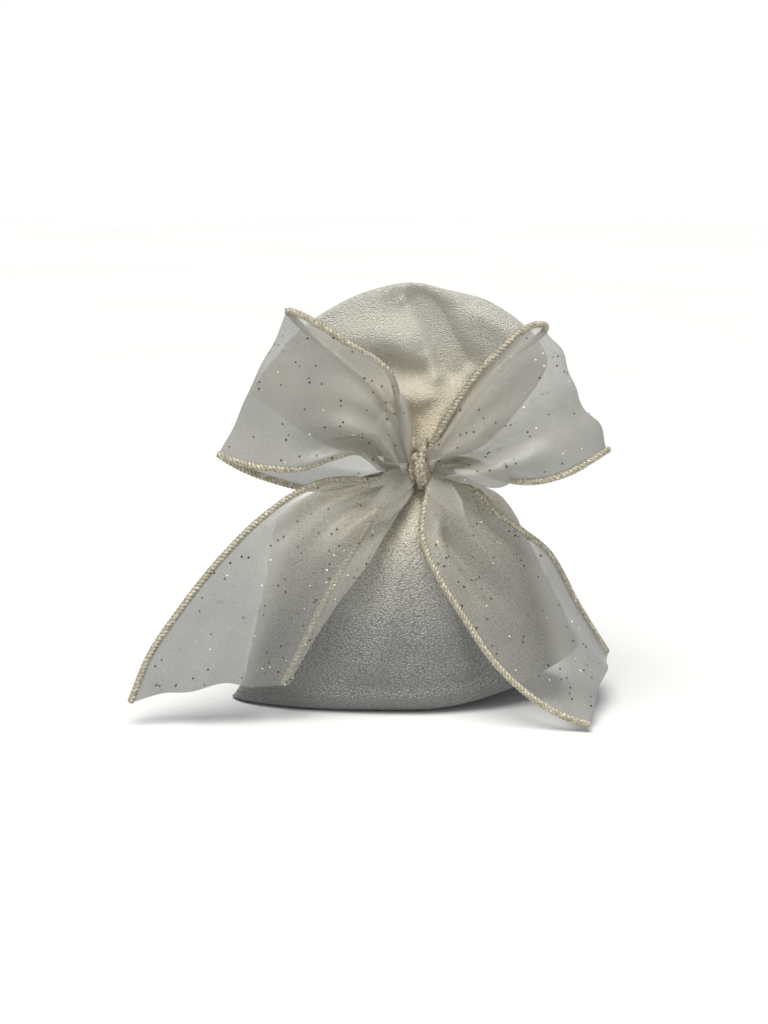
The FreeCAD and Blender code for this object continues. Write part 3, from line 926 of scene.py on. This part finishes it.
def bow():
    """Both loops and both tails. The number after each line of points is the place in it of the outer fold,
    or of the hinge line on a tail. The right tail's cloth turns under along its inner cord."""
    loop("left", (LEFT_LOOP_TOP, 10), (LEFT_LOOP_BOTTOM, 9),
         turned_top=((2.2, -2.2, -0.4), 0.38), turned_bottom=((0.4, -2.4, -1.4), 0.32),
         phase=0.7, seed=21)
    loop("right", (RIGHT_LOOP_TOP, 8), (RIGHT_LOOP_BOTTOM, 9),
         turned_top=((0.0, -0.3, 0.0), 0.2), turned_bottom=((0.6, -4.0, -3.5), 0.47),
         phase=2.1, seed=34)
    tail("left", (LEFT_TAIL_OUTER, 3), (LEFT_TAIL_FOLD, 3), (LEFT_TAIL_INNER, 3),
         bulge=(0.2, 2.6, 4.0, 3.4, 1.6), phase=0.3, seed=55,
         start=(-3.0, -14.2, 57.6), middle=(-9.4, -17.9, 51.9), end=(-16.6, -21.0, 48.0),
         cut=(0.05, 0.014))
    tail("right", (RIGHT_TAIL_OUTER, 3), (RIGHT_TAIL_INNER, 3), (RIGHT_TAIL_INNER, 3),
         bulge=(0.6, 3.0, 4.2, 3.6, 2.2), phase=1.4, seed=89,
         start=(2.0, -14.6, 57.0), middle=(6.9, -18.2, 50.3), end=(11.2, -20.4, 43.6),
         cut=(0.015, 0.004))


# ---------------------------------------------------------------- knot and collar

def knot():
    """A short strap of packed ribbon over the front of the bow, gathered into upright pleats, and a small
    fold that rises from it in front of the crown."""
    cx, cy, cz = KNOT_CENTRE
    turn = np.linspace(0.0, 2 * math.pi, 72, endpoint=False)[None, :]
    across = np.linspace(-1.0, 1.0, 49)[:, None]
    round_off = np.sqrt(np.clip(1 - np.abs(across) ** 3.2, 0.0, 1.0))
    deep_groove = 0.30 * np.exp(-(((across + 0.42) / 0.11) ** 2))
    fine_groove = 0.07 * np.exp(-(((across - 0.66) / 0.1) ** 2))
    girth = 1 - deep_groove - fine_groove - 0.12 * smooth_step(-0.3, -0.6, across)
    girth = girth + 0.025 * np.cos(across * 15 + 2.0 * np.sin(3 * turn)) * np.cos(19 * turn + 5 * across)
    narrowed = 1 - 0.26 * np.abs(np.sin(turn)) ** 3
    x = cx - 0.2 + 3.1 * across * narrowed + 0.3 * np.sin(2 * turn) * round_off
    y = cy + 4.3 * round_off * girth * np.cos(turn)
    z = cz + 4.25 * round_off * girth * np.sin(turn)
    barrel = grid_object("knot_barrel", np.stack([x, y, z], -1), knotted, closed=True)
    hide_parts("knot")
    line = hermite(((1.5, -9.6, 66.4), (1.0, -12.0, 65.2), (0.4, -13.8, 63.2), (0.1, -14.2, 60.4)))
    rings = tube(line, np.linspace(0.6, 1.5, len(line)), 20)
    fold = grid_object("knot_top_fold", rings, knotted, closed=True)
    for part in (barrel, fold):
        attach(part, "pouch")


def bow_root():
    """The ribbon's packed folds between the collar and the knot."""
    turn = np.linspace(0.0, 2 * math.pi, 96, endpoint=False)[None, :]
    level = np.linspace(0.0, 1.0, 25)[:, None]
    radius = (1 + 0.07 * np.cos(11 * turn + 0.6 * np.sin(2 * turn))) * (1 - 0.25 * level)
    x = 4.9 * radius * np.cos(turn)
    z = KNOT_CENTRE[2] + 0.6 + 3.0 * radius * np.sin(turn)
    y = -7.4 - 4.6 * level + 0 * turn
    piece = grid_object("bow_root", np.stack([x, y, z], -1), packed, closed=True)
    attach(piece, "pouch")


def collar():
    """The ribbon's turn round the neck, 52 mm long at its two edge cords, with its whole width in pleats
    2.4 mm deep."""
    turn = np.linspace(0.0, 2 * math.pi, 180, endpoint=False)[None, :]
    level = np.linspace(0.0, 1.0, 129)[:, None]
    swell = 7.4 + 0.2 * np.sin(math.pi * level) ** 0.6
    creases = 1.2 * np.sin(2 * math.pi * 7.5 * level + 1.6 * np.sin(turn) + 0.8 * np.sin(3 * turn))
    radius = swell + creases
    height = 56.7 + 5.0 * level + 0.35 * np.sin(2 * turn + 0.4) + 0.25 * np.sin(5 * turn)
    grid = np.stack([radius * np.cos(turn), radius * np.sin(turn), height], -1)
    piece = grid_object("collar_band", grid, packed, closed=True)
    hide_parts("ribbon_collar")
    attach(piece, "pouch")
    bend = np.linspace(math.radians(-68), math.radians(248), 160)
    cord_ring = 8.35
    for name, middle, sway in (("collar_cord_top", 60.6, 0.5), ("collar_cord_bottom", 57.5, 0.35)):
        ring = [cord_ring * np.cos(bend), cord_ring * np.sin(bend), middle + sway * np.sin(2 * bend + 0.7)]
        cord = cord_object(name, np.stack(ring, 1), radius=0.9)
        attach(cord, "pouch")


# ---------------------------------------------------------------- stage

def soft_light(name, energy, spread, tilt, colour=(1.0, 1.0, 1.0)):
    """A broad sun; spread and tilt are in degrees."""
    sun = bpy.data.objects.new(name, bpy.data.lights.new(name, "SUN"))
    sun.data.energy = energy
    sun.data.angle = math.radians(spread)
    sun.data.color = colour
    sun.rotation_euler = (math.radians(tilt[0]), math.radians(tilt[1]), 0.0)
    bpy.context.scene.collection.objects.link(sun)


def studio():
    """A pale floor, white surroundings, a broad soft light from above, a weaker one in front, and a camera."""
    bpy.ops.mesh.primitive_circle_add(vertices=96, radius=3.0, fill_type="NGON", location=(0, 0, 0))
    floor = bpy.context.object
    floor.name = "floor"
    material, tree, shader = nodes_of("floor")
    tree.links.new(ramp(tree, noise(tree, (3, 3, 3)), [(0.3, (0.82, 0.82, 0.82)), (0.7, (0.85, 0.85, 0.85))]),
                   shader.inputs["Base Color"])
    shader.inputs["Roughness"].default_value = 0.9
    floor.data.materials.append(material)
    world = bpy.data.worlds.new("studio")
    world.use_nodes = True
    sky = world.node_tree
    glow = sky.nodes["Background"]
    glow.inputs["Color"].default_value = (0.87, 0.935, 1.0, 1.0)
    glow.inputs["Strength"].default_value = 0.22
    seen = sky.nodes.new("ShaderNodeBackground")
    seen.inputs["Color"].default_value = (1.0, 1.0, 1.0, 1.0)
    seen.inputs["Strength"].default_value = 1.0
    path = sky.nodes.new("ShaderNodeLightPath")
    choose = sky.nodes.new("ShaderNodeMixShader")
    sky.links.new(path.outputs["Is Camera Ray"], choose.inputs["Fac"])
    sky.links.new(glow.outputs["Background"], choose.inputs[1])
    sky.links.new(seen.outputs["Background"], choose.inputs[2])
    sky.links.new(choose.outputs["Shader"], sky.nodes["World Output"].inputs["Surface"])
    bpy.context.scene.world = world
    soft_light("top_light", 3.3, 40, (20, -7), colour=(1.0, 0.985, 0.95))
    soft_light("front_light", 0.5, 50, (58, 6))
    scene = bpy.context.scene
    scene.view_settings.view_transform = "Standard"
    camera = bpy.data.objects.new("camera", bpy.data.cameras.new("camera"))
    camera.data.sensor_fit = "VERTICAL"
    camera.data.sensor_height = 36.0
    camera.data.lens = 60.47
    camera.data.clip_start = 0.01
    camera.location = (-0.00865, -0.4206, 0.1354)
    camera.rotation_euler = (math.radians(78), 0.0, 0.0)
    scene.collection.objects.link(camera)
    scene.camera = camera


studio()
pouch_fabric()
wadding()
knot()
bow_root()
collar()
bow()
